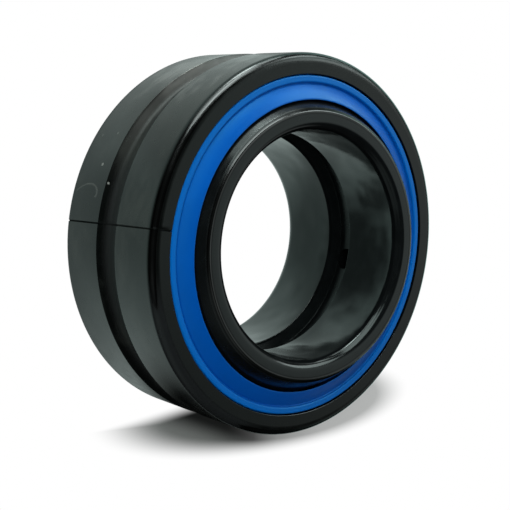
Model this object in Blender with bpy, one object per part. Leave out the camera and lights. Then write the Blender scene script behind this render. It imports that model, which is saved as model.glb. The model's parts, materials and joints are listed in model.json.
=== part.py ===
"""Sealed spherical plain bearing: a ball-shaped inner ring in a split outer ring, with a seal at each face.

Metres, +Z up. The inner ring's bore runs along Z and the centre of its sphere is the origin.
The outer ring and its seals share that centre. They lean a little on the inner ring, about the X axis.
"""
import math

import bmesh
import bpy
from mathutils import Matrix, Vector

# Main sizes of the bearing. With them the ball is 35.5 mm, the bore 25 mm and the outer ring 16 mm wide
OUTSIDE_DIAMETER = 0.042
INNER_RING_WIDTH = 0.020
OUTER_RING_WALL = 0.00325
INNER_RING_FACE_WALL = 0.002165
OUTER_RING_SETBACK = 0.002
RUNNING_GAP = 0.0003
OUTER_RING_LEAN = math.radians(-3.0)

# Inner ring: broken outer edge, lead-in and grease groove of the bore
FACE_EDGE_BREAK = 0.0003
BORE_LEAD_RADIAL = 0.0008
BORE_LEAD_AXIAL = 0.00125
BORE_GROOVE_WIDTH = 0.0036
BORE_GROOVE_FLOOR = 0.0024
BORE_GROOVE_DEPTH = 0.0014

# Outer ring: rounded outside edges, grease grooves outside and on the sliding face
OUTSIDE_EDGE_RADIAL = 0.00085
OUTSIDE_EDGE_AXIAL = 0.0011
OUTSIDE_GROOVE_WIDTH = 0.0034
OUTSIDE_GROOVE_FLOOR = 0.0024
OUTSIDE_GROOVE_DEPTH = 0.0012
SLIDING_GROOVE_WIDTH = 0.0030
SLIDING_GROOVE_FLOOR = 0.0018
SLIDING_GROOVE_DEPTH = 0.0008

# Outer ring: the stepped seat that each seal snaps into
SEAT_WALL = 0.0023
SEAT_DEPTH = 0.0020
SEAT_UNDERCUT = 0.00045
SEAT_RETAINING_LAND = 0.0008

# Outer ring: the fracture that lets it open round the inner ring
SPLIT_WIDTH = 0.0002
SPLIT_AZIMUTH = math.radians(-60.0)
SPLIT_SLANT = math.radians(2.2)

# Grease holes, two in each ring, opposite each other
GREASE_HOLE_DIAMETER = 0.0025
OUTER_HOLE_AZIMUTH = SPLIT_AZIMUTH + math.radians(90.0)
INNER_HOLE_AZIMUTH = math.radians(114.5)
HOLES_PER_RING = 2

# Seals: rim, fine groove, band and lip
SEAL_FIT_GAP = 0.0003
RIM_SINK = 0.00013
RIM_WIDTH = 0.0008
RIM_ROUND = 0.00018
RIM_GROOVE_WIDTH = 0.00024
RIM_GROOVE_DEPTH = 0.00022
LIP_HEIGHT = 0.0004
LIP_THICKNESS = 0.00016
BAND_CROWN = 0.00008

# Smoothness of the turned shapes
SEGMENTS = 72
EDGE_STEPS = 3
INNER_SPHERE_STEPS = 7
OUTER_SPHERE_STEPS = 4
LIP_STEPS = 3
BAND_STEPS = 3
HOLE_SEGMENTS = 16
SMOOTH_ANGLE = math.radians(30.0)
WELD_DISTANCE = 0.000001
CUT_OVERRUN = 0.0005

# Worked out from the sizes above: radii, and heights of the faces above the middle
INNER_FACE = INNER_RING_WIDTH / 2
OUTER_FACE = INNER_FACE - OUTER_RING_SETBACK
OUTER_RING_WIDTH = 2 * OUTER_FACE
OUTSIDE_RADIUS = OUTSIDE_DIAMETER / 2
SPHERE_RADIUS = OUTSIDE_RADIUS - OUTER_RING_WALL
BORE_RADIUS = math.sqrt(SPHERE_RADIUS ** 2 - INNER_FACE ** 2) - INNER_RING_FACE_WALL
SLIDING_RADIUS = SPHERE_RADIUS + RUNNING_GAP
SEAT_RADIUS = OUTSIDE_RADIUS - SEAT_WALL
SEAT_FLOOR = OUTER_FACE - SEAT_DEPTH
UNDERCUT_RADIUS = SEAT_RADIUS + SEAT_UNDERCUT
UNDERCUT_TOP = OUTER_FACE - SEAT_RETAINING_LAND


def clear_objects():
    for thing in list(bpy.data.objects):
        bpy.data.objects.remove(thing, do_unlink=True)


def make_material(name, colour, metallic, roughness):
    material = bpy.data.materials.new(name)
    material.use_nodes = True
    shader = material.node_tree.nodes["Principled BSDF"]
    shader.inputs["Base Color"].default_value = (*colour, 1.0)
    shader.inputs["Metallic"].default_value = metallic
    shader.inputs["Roughness"].default_value = roughness
    return material


def on_sphere(radius, height):
    """Point (r, z) of a sphere's outline at a height."""
    return math.sqrt(radius ** 2 - height ** 2), height


def sphere_arc(radius, high, low, steps):
    """Points (r, z) down a sphere's outline, at even angles, from one height to a lower one."""
    first = math.asin(high / radius)
    last = math.asin(low / radius)
    angles = [first + (last - first) * step / steps for step in range(steps + 1)]
    return [(radius * math.cos(angle), radius * math.sin(angle)) for angle in angles]


def rounded_edge(radius, height, radial, axial, steps):
    """Quarter of an ellipse from a flat face at a height round to a wall at a radius."""
    angles = [math.pi / 2 * (1 - step / steps) for step in range(steps + 1)]
    return [(radius - radial + radial * math.cos(angle), height - axial + axial * math.sin(angle)) for angle in angles]


def groove_half(wall_radius, width, floor, depth):
    """Upper half of a groove with sloping sides. A negative depth cuts towards the axis."""
    return [(wall_radius, width / 2), (wall_radius + depth, floor / 2)]


def symmetric_outline(outer_half, inner_half):
    """Closed outline from its upper halves, each given from the face down to the middle.

    It runs down the outer side and up the inner one.
    """
    outer_side = outer_half + [(r, -z) for r, z in reversed(outer_half)]
    inner_side = [(r, -z) for r, z in inner_half] + list(reversed(inner_half))
    return outer_side + inner_side


def inner_ring_outline():
    break_height = INNER_FACE - FACE_EDGE_BREAK
    face_radius = on_sphere(SPHERE_RADIUS, INNER_FACE)[0] - FACE_EDGE_BREAK / 2
    outer_half = [(face_radius, INNER_FACE)]
    outer_half += sphere_arc(SPHERE_RADIUS, break_height, 0.0, INNER_SPHERE_STEPS)[:-1]
    inner_half = [
        (BORE_RADIUS + BORE_LEAD_RADIAL, INNER_FACE),
        (BORE_RADIUS, INNER_FACE - BORE_LEAD_AXIAL),
    ]
    inner_half += groove_half(BORE_RADIUS, BORE_GROOVE_WIDTH, BORE_GROOVE_FLOOR, BORE_GROOVE_DEPTH)
    return symmetric_outline(outer_half, inner_half)


def outer_ring_outline():
    outer_half = rounded_edge(OUTSIDE_RADIUS, OUTER_FACE, OUTSIDE_EDGE_RADIAL, OUTSIDE_EDGE_AXIAL, EDGE_STEPS)
    outer_half += groove_half(
        OUTSIDE_RADIUS, OUTSIDE_GROOVE_WIDTH, OUTSIDE_GROOVE_FLOOR, -OUTSIDE_GROOVE_DEPTH)
    groove_edge = SLIDING_GROOVE_WIDTH / 2
    groove_floor_radius = SLIDING_RADIUS + SLIDING_GROOVE_DEPTH
    inner_half = [
        (SEAT_RADIUS, OUTER_FACE),
        (SEAT_RADIUS, UNDERCUT_TOP),
        (UNDERCUT_RADIUS, UNDERCUT_TOP),
        (UNDERCUT_RADIUS, SEAT_FLOOR),
    ]
    inner_half += sphere_arc(SLIDING_RADIUS, SEAT_FLOOR, groove_edge, OUTER_SPHERE_STEPS)
    inner_half += [(groove_floor_radius, SLIDING_GROOVE_FLOOR / 2)]
    return symmetric_outline(outer_half, inner_half)


def seal_outline():
    """Outline of the front seal, which stands in its seat with an even gap all round."""
    rim_radius = SEAT_RADIUS - SEAL_FIT_GAP
    foot_radius = UNDERCUT_RADIUS - SEAL_FIT_GAP
    foot_top = UNDERCUT_TOP - SEAL_FIT_GAP
    foot_base = SEAT_FLOOR + SEAL_FIT_GAP
    rim_height = OUTER_FACE - RIM_SINK
    rim_inside = rim_radius - RIM_WIDTH
    band_outside = rim_inside - RIM_GROOVE_WIDTH
    groove_middle = (rim_inside + band_outside) / 2
    lip_height = OUTER_FACE + LIP_HEIGHT
    lip_radius = on_sphere(SLIDING_RADIUS, lip_height)[0]
    band_inside = lip_radius + LIP_THICKNESS
    outline = [
        (rim_inside + RIM_ROUND, rim_height),
        (rim_radius - RIM_ROUND, rim_height),
        (rim_radius, rim_height - RIM_ROUND),
        (rim_radius, foot_top),
        (foot_radius, foot_top - RIM_ROUND),
        (foot_radius, foot_base),
    ]
    outline += reversed(sphere_arc(SLIDING_RADIUS, lip_height, foot_base, LIP_STEPS))
    for step in range(BAND_STEPS + 1):
        share = step / BAND_STEPS
        radius = band_inside + (band_outside - band_inside) * share
        height = lip_height + (rim_height - RIM_ROUND - lip_height) * share
        outline.append((radius, height + 4 * BAND_CROWN * share * (1 - share)))
    outline += [
        (groove_middle, rim_height - RIM_ROUND - RIM_GROOVE_DEPTH),
        (rim_inside, rim_height - RIM_ROUND),
    ]
    return outline


def turned(name, outline, material, carrier):
    """Object made by spinning a closed outline of (r, z) points round Z."""
    shape = bmesh.new()
    corners = [shape.verts.new((r, 0.0, z)) for r, z in outline]
    sides = [shape.edges.new((a, b)) for a, b in zip(corners, corners[1:] + corners[:1])]
    bmesh.ops.spin(
        shape, geom=corners + sides, cent=(0, 0, 0), axis=(0, 0, 1),
        angle=math.tau, steps=SEGMENTS, use_merge=True)
    bmesh.ops.remove_doubles(shape, verts=shape.verts, dist=WELD_DISTANCE)
    bmesh.ops.recalc_face_normals(shape, faces=shape.faces)
    mesh = bpy.data.meshes.new(name)
    shape.to_mesh(mesh)
    shape.free()
    mesh.shade_smooth()
    mesh.set_sharp_from_angle(angle=SMOOTH_ANGLE)
    mesh.materials.append(material)
    ring = bpy.data.objects.new(name, mesh)
    ring.parent = carrier
    bpy.context.collection.objects.link(ring)
    return ring


def flipped(outline):
    """The same outline on the other face, still running down its outer side."""
    return [(r, -z) for r, z in reversed(outline)]


def add_cutter(name, shape, ring):
    """Hidden object that cuts the ring."""
    mesh = bpy.data.meshes.new(name)
    shape.to_mesh(mesh)
    shape.free()
    cutter = bpy.data.objects.new(name, mesh)
    cutter.parent = ring.parent
    cutter.hide_render = True
    cutter.display_type = "WIRE"
    bpy.context.collection.objects.link(cutter)
    cut = ring.modifiers.new(name, "BOOLEAN")
    cut.operation = "DIFFERENCE"
    cut.solver = "EXACT"
    cut.object = cutter


def cut_grease_holes(ring, inside, outside, azimuth):
    """Round holes through the ring's wall at its middle, evenly spaced from an azimuth."""
    length = outside - inside + 2 * CUT_OVERRUN
    for number in range(HOLES_PER_RING):
        shape = bmesh.new()
        bmesh.ops.create_cone(
            shape, cap_ends=True, segments=HOLE_SEGMENTS, depth=length,
            radius1=GREASE_HOLE_DIAMETER / 2, radius2=GREASE_HOLE_DIAMETER / 2)
        turn = azimuth + math.tau * number / HOLES_PER_RING
        place = (
            Matrix.Rotation(turn, 4, "Z")
            @ Matrix.Translation(Vector(((inside + outside) / 2, 0.0, 0.0)))
            @ Matrix.Rotation(math.pi / 2, 4, "Y")
        )
        bmesh.ops.transform(shape, matrix=place, verts=shape.verts)
        add_cutter(f"{ring.name}_grease_hole_{number + 1}", shape, ring)


def cut_split(ring):
    """Hairline through the outer ring at one place, a little aslant as a fracture is."""
    inside = on_sphere(SLIDING_RADIUS, SEAT_FLOOR)[0] - CUT_OVERRUN
    outside = OUTSIDE_RADIUS + CUT_OVERRUN
    shape = bmesh.new()
    bmesh.ops.create_cube(shape, size=1.0)
    place = (
        Matrix.Rotation(SPLIT_AZIMUTH, 4, "Z")
        @ Matrix.Translation(Vector(((inside + outside) / 2, 0.0, 0.0)))
        @ Matrix.Rotation(SPLIT_SLANT, 4, "X")
        @ Matrix.Diagonal(Vector((outside - inside, SPLIT_WIDTH, OUTER_RING_WIDTH + 4 * CUT_OVERRUN, 1.0)))
    )
    bmesh.ops.transform(shape, matrix=place, verts=shape.verts)
    add_cutter("outer_ring_split", shape, ring)


def build_inner_ring(carrier):
    steel = make_material("inner_ring_steel", (0.060, 0.066, 0.066), 0.7, 0.34)
    ring = turned("inner_ring", inner_ring_outline(), steel, carrier)
    cut_grease_holes(ring, BORE_RADIUS, SPHERE_RADIUS, INNER_HOLE_AZIMUTH)


def build_outer_ring(carrier):
    steel = make_material("outer_ring_steel", (0.075, 0.084, 0.080), 0.6, 0.48)
    ring = turned("outer_ring", outer_ring_outline(), steel, carrier)
    cut_grease_holes(ring, SLIDING_RADIUS, OUTSIDE_RADIUS, OUTER_HOLE_AZIMUTH)
    cut_split(ring)


def build_seals(carrier):
    blue = make_material("seal_blue", (0.004, 0.110, 0.450), 0.0, 0.42)
    turned("front_seal", seal_outline(), blue, carrier)
    turned("rear_seal", flipped(seal_outline()), blue, carrier)


def add_axis(name, lean):
    """Empty at the sphere's centre that carries the pieces turned about one axis."""
    empty = bpy.data.objects.new(name, None)
    empty.rotation_euler = (lean, 0.0, 0.0)
    bpy.context.collection.objects.link(empty)
    return empty


def main():
    clear_objects()
    inner_axis = add_axis("inner_axis", 0.0)
    outer_axis = add_axis("outer_axis", OUTER_RING_LEAN)
    build_inner_ring(inner_axis)
    build_outer_ring(outer_axis)
    build_seals(outer_axis)
    bpy.context.view_layer.update()


main()
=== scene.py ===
"""Looks of a sealed spherical plain bearing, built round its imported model.

Lengths are in metres, in the model's frame: +Z along the inner ring's bore, the origin at the middle of the
ball, +X the axis about which the outer ring and its seals lean on the inner ring. Each ring and seal is a
closed outline of points (radius, height) turned round its own axis. Places in a ring are given by azimuth,
from +X towards +Y, and by height along the ring's own axis.

Among the values for the looks, a noise is (cycles to the metre, detail), and streaks are (cycles to the
metre along the circle, across it). A band is (start, end, amount up to the start, amount from the end on),
of a noise, a length, or the cosine of the turn away from a side. Bumps are (depth of turning marks, depth of
waves).
"""

import json
import math

import bmesh
import bpy
import numpy as np
from mathutils import Matrix, Vector
from mathutils.geometry import delaunay_2d_cdt


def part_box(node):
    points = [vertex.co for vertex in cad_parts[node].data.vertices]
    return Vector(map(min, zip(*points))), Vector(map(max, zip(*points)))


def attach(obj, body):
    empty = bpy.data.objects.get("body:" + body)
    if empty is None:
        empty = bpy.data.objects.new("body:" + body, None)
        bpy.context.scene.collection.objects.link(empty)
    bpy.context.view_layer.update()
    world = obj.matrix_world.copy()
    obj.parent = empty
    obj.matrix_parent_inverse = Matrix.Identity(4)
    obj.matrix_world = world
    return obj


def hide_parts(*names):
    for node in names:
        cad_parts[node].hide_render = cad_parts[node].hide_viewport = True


bl_info = {
    "name": "Spherical plain bearing",
    "version": (1, 0, 0),
    "blender": (4, 5, 0),
    "location": "3D View > Sidebar > Bearing",
    "description": "Builds the rings and seals of a sealed spherical plain bearing, and its stage",
    "category": "Add Mesh",
}

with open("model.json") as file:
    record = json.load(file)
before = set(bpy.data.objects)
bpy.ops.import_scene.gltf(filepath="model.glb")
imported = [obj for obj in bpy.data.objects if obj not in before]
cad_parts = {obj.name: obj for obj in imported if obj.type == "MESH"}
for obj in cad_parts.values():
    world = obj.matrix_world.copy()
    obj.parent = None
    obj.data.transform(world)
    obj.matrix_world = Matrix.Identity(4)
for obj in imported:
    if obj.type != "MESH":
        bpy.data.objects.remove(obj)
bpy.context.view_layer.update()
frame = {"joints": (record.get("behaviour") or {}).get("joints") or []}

# Main sizes, from the frame
OUTSIDE_RADIUS = (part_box("outer_ring")[1].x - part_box("outer_ring")[0].x) / 2
INNER_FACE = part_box("inner_ring")[1].z
TURN_AXIS = Vector(next(joint["axis"] for joint in frame["joints"] if joint["name"] == "ring_turn"))
LEAN = -math.atan2(TURN_AXIS.y, TURN_AXIS.z)

# Sizes that the frame's boxes don't tell, as the model has them
OUTER_RING_WALL = 0.00325
INNER_RING_FACE_WALL = 0.002165
OUTER_RING_SETBACK = 0.002
RUNNING_GAP = 0.0003
SEAT_WALL = 0.0023
SEAT_DEPTH = 0.0020
SEAT_UNDERCUT = 0.00045
SEAT_RETAINING_LAND = 0.0008
SPLIT_AZIMUTH = math.radians(-60.0)
SPLIT_SLANT = math.radians(2.2)
OUTER_HOLE_AZIMUTH = SPLIT_AZIMUTH + math.radians(90.0)
INNER_HOLE_AZIMUTH = math.radians(114.5)
HOLES_PER_RING = 2

# Worked out from them
OUTER_FACE = INNER_FACE - OUTER_RING_SETBACK
SPHERE_RADIUS = OUTSIDE_RADIUS - OUTER_RING_WALL
SLIDING_RADIUS = SPHERE_RADIUS + RUNNING_GAP
BALL_EDGE_RADIUS = math.sqrt(SPHERE_RADIUS ** 2 - INNER_FACE ** 2)
BORE_RADIUS = BALL_EDGE_RADIUS - INNER_RING_FACE_WALL
SEAT_RADIUS = OUTSIDE_RADIUS - SEAT_WALL
UNDERCUT_RADIUS = SEAT_RADIUS + SEAT_UNDERCUT
UNDERCUT_TOP = OUTER_FACE - SEAT_RETAINING_LAND
SEAT_FLOOR = OUTER_FACE - SEAT_DEPTH

# Fineness of the surfaces
TURN_STEPS = 360
ROUND_STEPS = 6
EDGE_STEPS = 12
SPHERE_STEPS = 30
BAND_STEPS = 8
HOLE_STEPS = 48
SUPPORT = 0.00004
SMOOTH_ANGLE = math.radians(30.0)
WELD_DISTANCE = 0.000001
CUT_OVERRUN = 0.0004
SMALLEST_SWEEP = 0.000001
SMALLEST_LENGTH = 0.000000001

# The fracture, whose waves up and inwards are (radians to the metre, radians at the start, share)
FRACTURE_GRAIN = 0.00018
FRACTURE_TOLERANCE = 0.00001
FRACTURE_WAVES = ((2600.0, 0.7, 1.0), (5300.0, 2.1, 0.6))
FRACTURE_MARK = -1.0
BULGE_DEPTH = 0.00012
TIGHT_SHARE = 0.3

# The camera, which stands where the photograph's stood
CAMERA_PLACE = Vector((0.037413, -0.06768, 0.094467))
CAMERA_RIGHT = Vector((-0.48226, 0.61386, 0.62498))
CAMERA_UP = Vector((-0.82588, -0.5565, -0.09069))
CAMERA_LENS = 74.974
CAMERA_SENSOR = 36.0
CAMERA_NEAREST = 0.005

# The picture's directions, of which left and up lie in the plane of the rings
PICTURE_LEFT = Vector((0.5588, -0.8293, 0.0))
PICTURE_UP = Vector((-0.8293, -0.5588, 0.0))
PICTURE_NEAR = Vector((0.0, 0.0, 1.0))
PICTURE_TURN = math.atan2(-PICTURE_LEFT.y, -PICTURE_LEFT.x)

# The colour sockets of a Mix node
MIX_BELOW = 6
MIX_ABOVE = 7
MIX_RESULT = 2

# Looks of both rings
MOTTLE = (700.0, 5.0)
MOTTLE_TONE = (0.35, 0.68, 0.0, 1.0)
MOTTLE_ROUGHNESS = (0.3, 0.7, -0.04, 0.05)
CLOUD = (120.0, 3.0)
CLOUD_TONE = (0.4, 0.65, 0.0, 0.35)
DARK_STEEL = 0.82
PALE_STEEL = 1.2
STEEL_TINT = (0.80, 1.0, 0.96, 1.0)
TURNING_MARKS = (90.0, 9000.0)
STREAK_DETAIL = 3.0
STREAK_ROUGHNESS = 0.6
NOISE_ROUGHNESS = 0.55
RUBBED_STREAKS = (0.35, 0.6, 0.25, 0.85)
RUBBED_METAL = (0.0, 0.08, 0.0, 1.0)
RUBBED_POLISH = 0.09
FRACTURE_ROUGHNESS = (-0.1, 0.0, 1.0, 0.0)
WAVES = (260.0, 1.0)
GRAIN_DEPTH = 0.000004

# Looks of the inner ring alone
INNER_BUMPS = (0.0000008, 0.00016)
INNER_RUB_SHARE = 1.2
BORE_WAVES = (BORE_RADIUS + 0.0001, BORE_RADIUS + 0.0003, 1.0, 0.0)
LEAD_ROUGHNESS = (BORE_RADIUS + 0.0009, BORE_RADIUS + 0.0012, 0.0, 0.1)

# Looks of the outer ring alone
OUTER_BUMPS = (0.0000012, 0.00001)
OUTER_RUB_INSET = 0.3
OUTER_RUB_WIDTH = 0.00045
# Painted light: a paler tone on the outside edge at the lower left, where the rubbed highlight is left out
PAINTED_EDGE_LIGHT_AZIMUTH = math.radians(-14.0)
PAINTED_EDGE_LIGHT_SIDE = (math.cos(PAINTED_EDGE_LIGHT_AZIMUTH), math.sin(PAINTED_EDGE_LIGHT_AZIMUTH), 0.0)
PAINTED_EDGE_LIGHT_TURN = (0.80, 0.93, 0.0, 1.0)
PAINTED_EDGE_LIGHT_WIDTH = (0.0005, 0.0009, 1.0, 0.0)
PAINTED_EDGE_LIGHT_TONE = (0.012, 0.0140, 0.0145, 1.0)
LANDS = (OUTER_FACE - 0.0012, OUTER_FACE - 0.0008, 1.0, 0.0)
# The lands on the side facing the light get a pale tone, partly a dusting and partly painted light; the
# groove's rear wall there gets it paler still, as painted light
DUST_AND_PAINTED_LIGHT_TURN = (0.2, 0.95, 0.0, 1.0)
DUST_CLOUD = (0.3, 0.6, 0.5, 1.0)
WALL_HEIGHT = -0.00136
WALL_WIDTH = (0.00022, 0.0003, 1.0, 0.0)
WALL_TURN = (0.35, 0.6, 0.0, 1.0)
WALL_PAINTED_LIGHT = 1.9
GROOVE_SINK = (OUTSIDE_RADIUS - 0.0012, OUTSIDE_RADIUS - 0.0004, 1.0, 0.0)
GROOVE_WIDTH = (0.0016, 0.0018, 1.0, 0.0)
GROOVE_TONE = (0.014, 0.0155, 0.0155, 1.0)
GROOVE_ROUGHNESS = 0.6
HAZE_STREAKS = (160.0, 300.0)
HAZE_AMOUNT = (0.45, 0.7, 0.0, 0.8)
HAZE_TONE = (0.022, 0.025, 0.022, 1.0)
SMEAR_STREAKS = (150.0, 330.0)
SMEAR_AMOUNT = (0.46, 0.68, 0.0, 0.9)
SMEAR_TURN = (0.55, 0.9, 0.0, 1.0)
SMEAR_DUST = 2.9
SMEAR_POLISH = 0.05
DENT_STREAKS = (110.0, 1300.0)
DENT_MIDDLE = 0.5
DENT_WIDTH = (0.0005, 0.0011, 1.0, 0.0)
DENT_TURN = (0.3, 0.6, 0.0, 1.0)
DENT_DEPTH = 0.00005

# Stray marks on the outside, the specks as (azimuth in degrees, inset, height, radius, paleness)
SPECKS = (
    (-76.7, 0.0, -0.0035, 0.00023, 1.0),
    (-86.9, 0.0, -0.0034, 0.00022, 0.35),
    (-85.9, 0.0, -0.0060, 0.00022, 0.25),
    (-71.5, 0.00025, -0.00165, 0.00018, 1.0),
)
SPECK_CORE = 0.4
FIBRE_AZIMUTH = math.radians(-70.6)
FIBRE_HEIGHT = -0.0044
FIBRE_BEND = 160.0
FIBRE_TAIL = 0.0023
FIBRE_HOOK = 0.00092
FIBRE_HOOK_SPAN = 1.4
FIBRE_REACH = 0.0015
FIBRE_WIDTH = (0.00002, 0.00015, 0.22, 0.0)
STRAY_TONE = (0.22, 0.24, 0.22, 1.0)

# Looks of the seals, whose rim is painted a little paler than the band, as a highlight
RUBBER_CLOUD = (160.0, 3.0)
RUBBER_CLOUD_TONE = (0.35, 0.65, 0.0, 1.0)
RUBBER_GRAIN = (2600.0, 4.0)
RUBBER_GRAIN_SPAN = (0.3, 0.7)
RUBBER_ROUGHNESS_SPREAD = 0.05
RUBBER_GLOSS = 0.45
RUBBER_TINT = (0.12, 0.9, 1.0, 1.0)
DARK_RUBBER = 0.9
RIM_BAND = (SEAT_RADIUS - 0.00095, SEAT_RADIUS - 0.00085, 0.0, 1.0)
PAINTED_RIM_HIGHLIGHT = (0.0, 0.125, 0.52, 1.0)

# The ground as the camera sees it, with the edges of its shadow and the painted shadow line along the rings'
# foot
WHITE = (1.0, 1.0, 1.0, 1.0)
GROUND_ROUGHNESS = 0.9
SHADOW_RIM = (0.6, 1.0, 0.0, 1.0)
SHADOW_RIGHT = (-0.022, -0.004, 0.3, 0.0)
SHADOW_TOP_SLOPE = 0.18
SHADOW_TOP = (-0.0224, -0.0204, 0.0, 1.0)
CONTACT_SLOPE = 0.38
CONTACT_WIDTH = (0.0229, 0.0257, 0.92, 0.0)
CONTACT_END = (-0.013, -0.009, 0.0, 1.0)

# Painted reflections: dark places of the ground that only the steel sees, some of them painted shade at the
# rings' foot, the discs as (up, left, start and end of the rim, amount)
MIRRORED_WHITE = (0.85, 1.0, 0.97, 1.0)
DARK_GROUND = (0.005, 0.005, 0.005, 1.0)
DARK_DISCS = (
    (0.001, 0.0015, 0.0045, 0.0105, 0.85),
    (0.0, -0.009, 0.0015, 0.0055, 0.45),
    (-0.009, 0.0005, 0.0025, 0.006, 0.8),
    (0.0235, -0.011, 0.0045, 0.008, 0.75),
    (0.002, 0.027, 0.004, 0.017, 0.3),
)
DARK_FOOT_PLACE = (-0.028, 0.0)
DARK_FOOT_SIZE = (0.025, 0.0135)
DARK_FOOT = (0.34, 1.16, 1.0, 0.0)
DARK_LEFT = (0.03, 0.14, 0.0, 1.0)
DARK_TOP_START = (0.012, 0.022, 0.0, 0.35)
DARK_TOP_END = (0.022, 0.029, 0.35, 0.2)
DARK_BOTTOM = (-0.044, -0.026, 1.0, 0.0)
DARK_RING = (0.0212, 0.0265, 0.6, 0.0)

# The room's light, with its least level and its glows as (direction, cosine where it starts, amount)
ROOM_LEVEL = 0.035
ROOM_GLOWS = (
    ((0.12, -0.77, 0.62), 0.85, 1.0),
    ((-0.75, 0.45, 0.45), 0.8, 0.3),
    ((-0.4, -0.9, 0.06), 0.92, 0.5),
)

# The lamps as (name, direction, width, height, whether they light matt surfaces, whether glossy ones)
LAMP_DISTANCE = 0.35
LAMPS = (
    ("low_key", (0.97, 0.06, 0.12), 0.36, 0.11, True, True),
    ("high_key", (0.82, 0.1, 0.52), 0.28, 0.15, True, True),
    ("spark", (0.98, -0.02, 0.12), 0.1, 0.07, True, True),
    ("side", (0.55, -0.65, 0.5), 0.2, 0.16, False, True),
    ("fill", (0.42, 0.52, 0.76), 0.3, 0.3, True, False),
    ("low_fill", (-0.35, 0.6, 0.7), 0.3, 0.3, True, False),
)


def picture(up, left, near=0.0):
    """Vector given along the picture's directions."""
    return PICTURE_UP * up + PICTURE_LEFT * left + PICTURE_NEAR * near


def length(label, text, default):
    return bpy.props.FloatProperty(
        name=label, description=text, default=default, unit="LENGTH", precision=6)


def colour(label, text, default):
    return bpy.props.FloatVectorProperty(
        name=label, description=text, default=default, subtype="COLOR", size=3, min=0.0, max=1.0)


def share(label, text, default):
    return bpy.props.FloatProperty(
        name=label, description=text, default=default, min=0.0, max=1.0, subtype="FACTOR")


def strength(label, text, default):
    return bpy.props.FloatProperty(
        name=label, description=f"{text}, where 1 is white", default=default, min=0.0)


class BEARING_PG_outer_ring(bpy.types.PropertyGroup):
    """Sizes and colour of the split outer ring."""
    edge_radial: length("Edge round, radial", "How far the outside edge's round reaches in", 0.0011)
    edge_axial: length("Edge round, axial", "How far that round reaches down the outside", 0.00085)
    face_round: length("Face round", "Radius between the edge and the flat face", 0.00012)
    groove_width: length("Groove width", "Width of the outside grease groove at its mouth", 0.0034)
    groove_floor: length("Groove floor", "Width of the outside grease groove's floor", 0.0024)
    groove_depth: length("Groove depth", "Depth of the outside grease groove", 0.0012)
    groove_round: length("Groove round", "Radius of the outside groove's edges", 0.00006)
    groove_fillet: length("Groove fillet", "Radius of the outside groove's bottom corners", 0.0005)
    sliding_width: length("Sliding groove width", "Width of the grease groove in the sliding face", 0.0030)
    sliding_floor: length("Sliding groove floor", "Width of that groove's floor", 0.0018)
    sliding_depth: length("Sliding groove depth", "Depth of that groove", 0.0008)
    small_round: length("Small round", "Radius of the ring's other edges", 0.00005)
    split_width: length("Split width", "Width of the fracture at its mouth", 0.0002)
    split_wave: length("Split waviness", "How far the fracture strays from a plane", 0.000012)
    split_bulge: length("Split bulge", "How far the fracture swells sideways below the surface", 0.0003)
    hole_diameter: length("Grease hole", "Diameter of the grease holes", 0.0025)
    steel: colour("Steel", "Dark phosphated steel of the outer ring", (0.0020, 0.0026, 0.0024))
    worn: colour("Worn steel", "Steel where the edges and lands are rubbed", (0.133, 0.150, 0.147))
    roughness: share("Roughness", "Roughness of the phosphated steel", 0.24)
    gloss: share("Gloss", "Strength of the phosphated steel's reflection", 0.31)
    # Pale tone on the side facing the light: partly a dusting, partly painted light
    dust_and_painted_light: colour("Dust", "Dust on the side that faced up", (0.042, 0.045, 0.042))


class BEARING_PG_inner_ring(bpy.types.PropertyGroup):
    """Sizes and colour of the ball-shaped inner ring."""
    edge_break: length("Edge break", "Broken edge between the ball and the flat face", 0.0003)
    lead_radial: length("Lead-in, radial", "How far the bore's lead-in opens", 0.00095)
    lead_axial: length("Lead-in, axial", "How deep the bore's lead-in goes", 0.00125)
    groove_width: length("Groove width", "Width of the bore's grease groove at its mouth", 0.0036)
    groove_floor: length("Groove floor", "Width of the bore's grease groove's floor", 0.0024)
    groove_depth: length("Groove depth", "Depth of the bore's grease groove", 0.0014)
    groove_round: length("Groove round", "Radius of the bore groove's edges and corners", 0.00006)
    face_round: length("Face round", "Radius between the flat face and the broken edge", 0.0002)
    small_round: length("Small round", "Radius of the ring's other edges", 0.00009)
    hole_diameter: length("Grease hole", "Diameter of the grease holes", 0.0025)
    steel: colour("Steel", "Dark hardened steel of the inner ring", (0.0035, 0.0045, 0.0048))
    worn: colour("Worn steel", "Steel where the edges are rubbed", (0.16, 0.18, 0.175))
    roughness: share("Roughness", "Roughness of the ground steel", 0.14)
    gloss: share("Gloss", "Strength of the ground steel's reflection", 0.42)


class BEARING_PG_seal(bpy.types.PropertyGroup):
    """Sizes and colour of the two seals."""
    fit_gap: length("Fit gap", "Gap between the seal and its seat", 0.0001)
    rim_sink: length("Rim sink", "How far the rim lies below the outer ring's face", 0.00013)
    rim_width: length("Rim width", "Width of the flat rim", 0.0008)
    rim_round: length("Rim round", "Radius of the rim's edges", 0.0002)
    groove_width: length("Groove width", "Width of the fine groove between rim and band", 0.00024)
    groove_depth: length("Groove depth", "Depth of the fine groove below the band", 0.00012)
    lip_height: length("Lip height", "How far the lip stands above the outer ring's face", 0.0004)
    lip_thickness: length("Lip thickness", "Width of the lip's end", 0.00016)
    band_crown: length("Band crown", "How far the middle of the band swells", 0.00008)
    small_round: length("Small round", "Radius of the seal's other edges", 0.00006)
    rubber: colour("Seal blue", "Blue of the moulded seals", (0.0, 0.090, 0.460))
    roughness: share("Roughness", "Roughness of the moulded seals", 0.36)


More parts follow.
